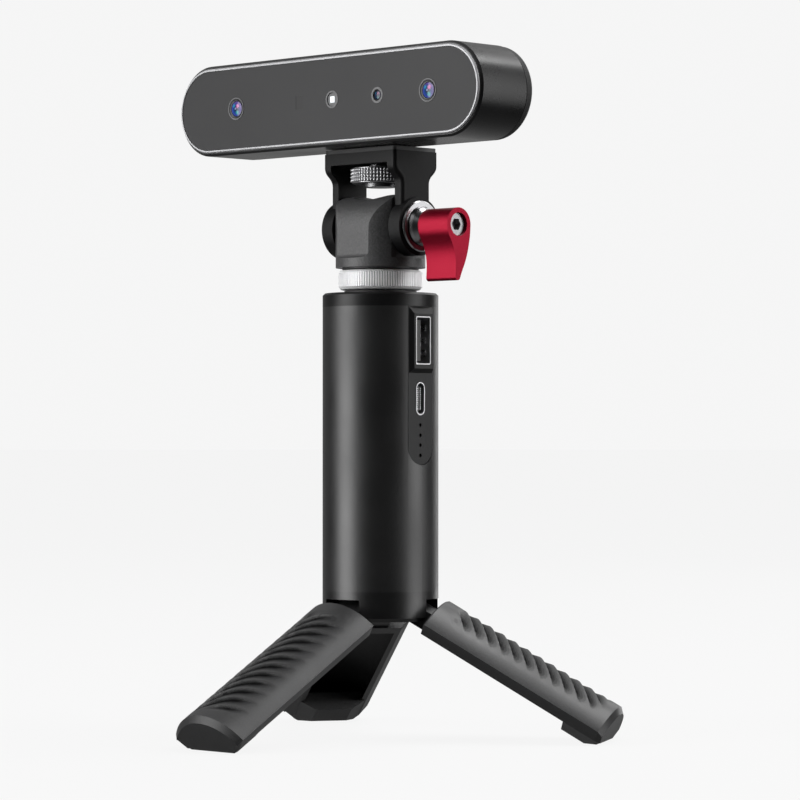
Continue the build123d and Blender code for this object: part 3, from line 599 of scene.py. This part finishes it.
ZC = 175.3
# painted reflection colours of the camera glass, from the axis outward
cam_painted_reflection = [(0.0, (0.006, 0.008, 0.012)), (0.22, (0.010, 0.020, 0.040)), (0.36, (0.02, 0.07, 0.14)), (0.50, (0.03, 0.08, 0.20)),
            (0.62, (0.06, 0.06, 0.22)), (0.72, (0.10, 0.09, 0.26)), (0.80, (0.03, 0.05, 0.10)), (0.88, (0.004, 0.004, 0.007))]
for side, x in (("left", -41.7), ("right", 33.6)):
    g = lens_mat("camera_glass_" + side, x * MM, ZC * MM, 2.6 * MM, cam_painted_reflection)
    dome = []
    R = (2.12 ** 2 + 0.30 ** 2) / (2 * 0.30)
    for i in range(13):
        r = 0.02 + (2.12 - 0.02) * i / 12
        dome.append((r, -15.88 + (R - math.sqrt(R * R - r * r))))
    prof = [(0.02, -12.8)] + dome + [(2.16, -15.52), (2.26, -15.66), (2.50, -15.70), (2.60, -15.62), (2.60, -12.8), (0.02, -12.8)]
    idx = [0] * 14 + [1] * 5
    idx = idx[:len(prof) - 1]
    o = turned_y("camera_glass_" + side, x, ZC, prof, [g, M["optic"]], idx)
    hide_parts("camera_lens_" + side)
    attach(o, "head")

# painted reflection colours of the RGB glass, from the axis outward
rgb_painted_reflection = [(0.0, (0.01, 0.012, 0.016)), (0.20, (0.005, 0.006, 0.01)), (0.40, (0.05, 0.06, 0.08)), (0.55, (0.02, 0.03, 0.05)),
            (0.80, (0.01, 0.012, 0.02)), (1.0, (0.004, 0.004, 0.005))]
g = lens_mat("rgb_glass", 14.5 * MM, ZC * MM, 1.55 * MM, rgb_painted_reflection, 0.45)
dome = []
R = (1.20 ** 2 + 0.20 ** 2) / (2 * 0.20)
for i in range(11):
    r = 0.02 + (1.20 - 0.02) * i / 10
    dome.append((r, -15.84 + (R - math.sqrt(R * R - r * r))))
prof = [(0.02, -12.8)] + dome + [(1.24, -15.58), (1.36, -15.68), (1.55, -15.62), (1.55, -12.8), (0.02, -12.8)]
idx = ([0] * 12 + [1] * 6)[:len(prof) - 1]
o = turned_y("rgb_glass", 14.5, ZC, prof, [g, M["optic"]], idx)
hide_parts("rgb_lens")
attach(o, "head")

# emitter behind its diffuser, flush in the grey ring
prof = [(0.02, -7.6), (0.02, -15.68), (1.0, -15.68), (1.82, -15.66), (1.92, -15.55), (1.92, -7.6), (0.02, -7.6)]
o = turned_y("led_diffuser", -3.0, ZC, prof, [M["led"]], [0] * 6)
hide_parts("led_emitter")
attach(o, "head")


def bars(name, boxes, mat):
    """Sprung contacts: each a thin strip with a rounded nose, (x0, x1, y0, y1, z0, z1) in mm."""
    bm = bmesh.new()
    for (x0, x1, y0, y1, z0, z1) in boxes:
        m = Matrix.Translation(((x0 + x1) / 2 * MM, (y0 + y1) / 2 * MM, (z0 + z1) / 2 * MM)) @ Matrix.Diagonal(
            ((x1 - x0) * MM, (y1 - y0) * MM, (z1 - z0) * MM, 1.0))
        bmesh.ops.create_cube(bm, size=1.0, matrix=m)
    small = min(min(b[1] - b[0], abs(b[3] - b[2]), b[5] - b[4]) for b in boxes) * MM
    bmesh.ops.bevel(bm, geom=list(bm.edges), offset=small * 0.3, segments=2, profile=0.6, affect="EDGES")
    me = bpy.data.meshes.new(name)
    bm.to_mesh(me)
    bm.free()
    ob = bpy.data.objects.new(name, me)
    scene.collection.objects.link(ob)
    me.materials.append(mat)
    me.polygons.foreach_set("use_smooth", [True] * len(me.polygons))
    sharp(ob, 40.0)
    return ob


strips = [(9.2, 15.2, 0.05, 0.42, 109.2 + dz - 0.50, 109.2 + dz + 0.50) for dz in (-3.6, -1.2, 1.2, 3.6)]
strips += [(11.4, 14.9, 2.42, 2.88, 109.2 + dz - 0.85, 109.2 + dz + 0.85) for dz in (-3.4, 0.0, 3.4)]
o = bars("usb_a_contacts", strips, M["steel"])
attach(o, "handle")
strips = []
for i in range(11):
    z = 93.3 + (i - 5) * 0.56
    strips += [(9.2, 14.95, 0.34, 0.62, z - 0.15, z + 0.15), (9.2, 14.95, -0.62, -0.34, z - 0.15, z + 0.15)]
o = bars("usb_c_contacts", strips, M["steel"])
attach(o, "handle")

# ------------------------------------------------- carried-over CAD pieces
look = {
    "grip_tube": ("tube", 0.15), "grip_cap": ("cap", 0.2), "leg_hub": ("hub", 0.25), "port_panel": ("panel", 0.18),
    "yoke": ("yoke", 0.30), "knuckle": ("cast", 0.5), "yoke_pad": ("rubber", 0.15), "grip_washer": ("rubber", 0.1),
    "head_shell": ("shell", 0.12), "rear_cover": ("cover", 0.12), "front_trim": ("trim", 0.0), "front_window": ("window", 0.0),
    "projector_window": ("faint", 0.0), "pivot_washer": ("chrome", 0.12), "lever_hub": ("chrome", 0.2), "lever": ("red", 0.45),
    "lever_bolt": ("socket", 0.12), "pivot_nut": ("steel", 0.2), "thumb_screw": ("stub", 0.15), "grip_stud": ("steel", 0.0),
    "hub_stud": ("steel", 0.0), "cover_screws": ("steel", 0.1), "head_insert": ("gold", 0.0), "base_plug": ("steel", 0.0),
    "cell_bracket": ("steel", 0.0), "battery_cell": ("wrap", 0.0), "power_pcb": ("pcb", 0.0), "main_pcb": ("pcb", 0.0),
    "usb_a_shell": ("port", 0.0), "usb_c_shell": ("port", 0.0), "usb_a_tongue": ("plastic", 0.1), "usb_c_tongue": ("plastic", 0.05),
    "data_port": ("silver", 0.0), "charge_light_guide": ("guide", 0.0), "camera_bezel_left": ("ringgrey", 0.05),
    "camera_bezel_right": ("ringgrey", 0.05), "rgb_bezel": ("ringgrey", 0.04), "led_ring": ("ringgrey", 0.0), "led_emitter": ("led", 0.0),
    "camera_module_left": ("optic", 0.0), "camera_module_right": ("optic", 0.0), "rgb_module": ("optic", 0.0),
    "projector_module": ("optic", 0.0), "optics_chassis": ("optic", 0.0),
    "hinge_pin_front": ("steel", 0.1), "hinge_pin_right": ("steel", 0.1), "hinge_pin_left": ("steel", 0.1),
    "foot_front": ("rubber", 0.3), "foot_right": ("rubber", 0.3), "foot_left": ("rubber", 0.3),
    "leg_front": ("leg", 0.0), "leg_right": ("leg", 0.0), "leg_left": ("leg", 0.0), "lock_ring": ("silver", 0.0),
    "thumb_wheel": ("silver", 0.0), "camera_lens_left": ("optic", 0.0), "camera_lens_right": ("optic", 0.0), "rgb_lens": ("optic", 0.0),
}
for n, o in NODES.items():
    mname, bw = look[n]
    o.data.materials.clear()
    o.data.materials.append(M[mname])
    if bw:
        bevel(o, bw * MM)

# ---------------------------------------------------------------- stage, light
def stage_mat(name, diffuse, emit):
    m, nt, bs = new_mat(name)
    bs.inputs["Base Color"].default_value = (diffuse, diffuse, diffuse, 1)
    bs.inputs["Roughness"].default_value = 1.0
    bs.inputs["Specular IOR Level"].default_value = 0.0
    bs.inputs["Emission Color"].default_value = (1, 1, 1, 1)
    bs.inputs["Emission Strength"].default_value = emit
    return m


PALE = 0.918
bm = bmesh.new()
bmesh.ops.create_circle(bm, cap_ends=True, radius=30.0, segments=96)
me = bpy.data.meshes.new("floor")
bm.to_mesh(me)
bm.free()
floor = bpy.data.objects.new("floor", me)
scene.collection.objects.link(floor)
me.materials.append(stage_mat("floor_pale", 0.03, PALE - 0.028))
floor.visible_glossy = False
floor.visible_diffuse = False
floor.location.z = -0.00002

bm = bmesh.new()
bmesh.ops.create_uvsphere(bm, u_segments=48, v_segments=24, radius=29.0)
me = bpy.data.meshes.new("backdrop")
bm.to_mesh(me)
bm.free()
dome = bpy.data.objects.new("backdrop", me)
scene.collection.objects.link(dome)
me.materials.append(stage_mat("backdrop_pale", 0.0, PALE))
dome.visible_glossy = False
dome.visible_diffuse = False
dome.visible_shadow = False
dome.visible_transmission = False

# the room the gloss sees: dim in front, soft and bright behind and above
w = bpy.data.worlds.new("studio")
scene.world = w
w.use_nodes = True
nt = w.node_tree
bg = nt.nodes["Background"]
tc = nt.nodes.new("ShaderNodeTexCoord")


def dir_term(vec, lo, hi, a, b):
    dp = nt.nodes.new("ShaderNodeVectorMath")
    dp.operation = "DOT_PRODUCT"
    nt.links.new(tc.outputs["Generated"], dp.inputs[0])
    dp.inputs[1].default_value = vec
    mr = nt.nodes.new("ShaderNodeMapRange")
    mr.interpolation_type = "SMOOTHSTEP"
    mr.inputs["From Min"].default_value = lo
    mr.inputs["From Max"].default_value = hi
    mr.inputs["To Min"].default_value = a
    mr.inputs["To Max"].default_value = b
    nt.links.new(dp.outputs["Value"], mr.inputs["Value"])
    return mr.outputs["Result"]


def plus(a, b):
    s = nt.nodes.new("ShaderNodeMath")
    s.operation = "ADD"
    nt.links.new(a, s.inputs[0])
    nt.links.new(b, s.inputs[1])
    return s.outputs[0]


total = dir_term((-0.7071, 0.7071, 0.0), 0.35, 0.98, 0.02, 0.33)
total = plus(total, dir_term((0, 0, 1), 0.25, 0.95, 0.0, 0.6))
total = plus(total, dir_term((0, 0, -1), 0.15, 0.9, 0.0, 0.20))
comb = nt.nodes.new("ShaderNodeCombineColor")
for k in ("Red", "Green", "Blue"):
    nt.links.new(total, comb.inputs[k])
nt.links.new(comb.outputs[0], bg.inputs["Color"])
bg.inputs["Strength"].default_value = 1.0


def area(name, az_cam, elev, dist, sx, sy, power, target=(0.0, 0.0, 0.10)):
    """Softbox at an azimuth measured from the camera's side, positive to the right."""
    L = bpy.data.lights.new(name, "AREA")
    L.shape = "RECTANGLE"
    L.size, L.size_y = sx, sy
    L.energy = power
    o = bpy.data.objects.new(name, L)
    scene.collection.objects.link(o)
    ang = math.radians(-45.0 + az_cam)
    e = math.radians(elev)
    d = Vector((math.cos(ang) * math.cos(e), math.sin(ang) * math.cos(e), math.sin(e)))
    t = Vector(target)
    o.location = t + d * dist
    o.rotation_euler = (-d).to_track_quat("-Z", "Y").to_euler()
    o.visible_camera = False
    return o


area("soft_left", -72.0, 8.0, 1.1, 0.66, 1.5, 20.0)
area("soft_right", 74.0, 10.0, 1.1, 0.62, 1.3, 10.0)
area("soft_top", 95.0, 62.0, 1.2, 0.9, 0.8, 15.0)
area("rim_right", 150.0, 12.0, 1.3, 0.35, 1.3, 3.0)

# -------------------------------------------------------------------- camera
cd = bpy.data.cameras.new("camera")
cam = bpy.data.objects.new("camera", cd)
scene.collection.objects.link(cam)
cd.sensor_width = 36.0
cd.lens = 157.5
cd.clip_start = 0.01
cd.clip_end = 100.0
q = math.sqrt(0.5)
DIST, EYE = 0.967, 0.082
cam.location = (DIST * q, -DIST * q, EYE)
f0 = Vector((-q, q, 0.0))
r = Vector((q, q, 0.0))
look_dir = f0 + r * ((400.0 - 380.5) / 3500.0) + Vector((0, 0, 1)) * ((440.0 - 400.0) / 3500.0)
cam.rotation_euler = look_dir.to_track_quat("-Z", "Y").to_euler()
scene.camera = cam
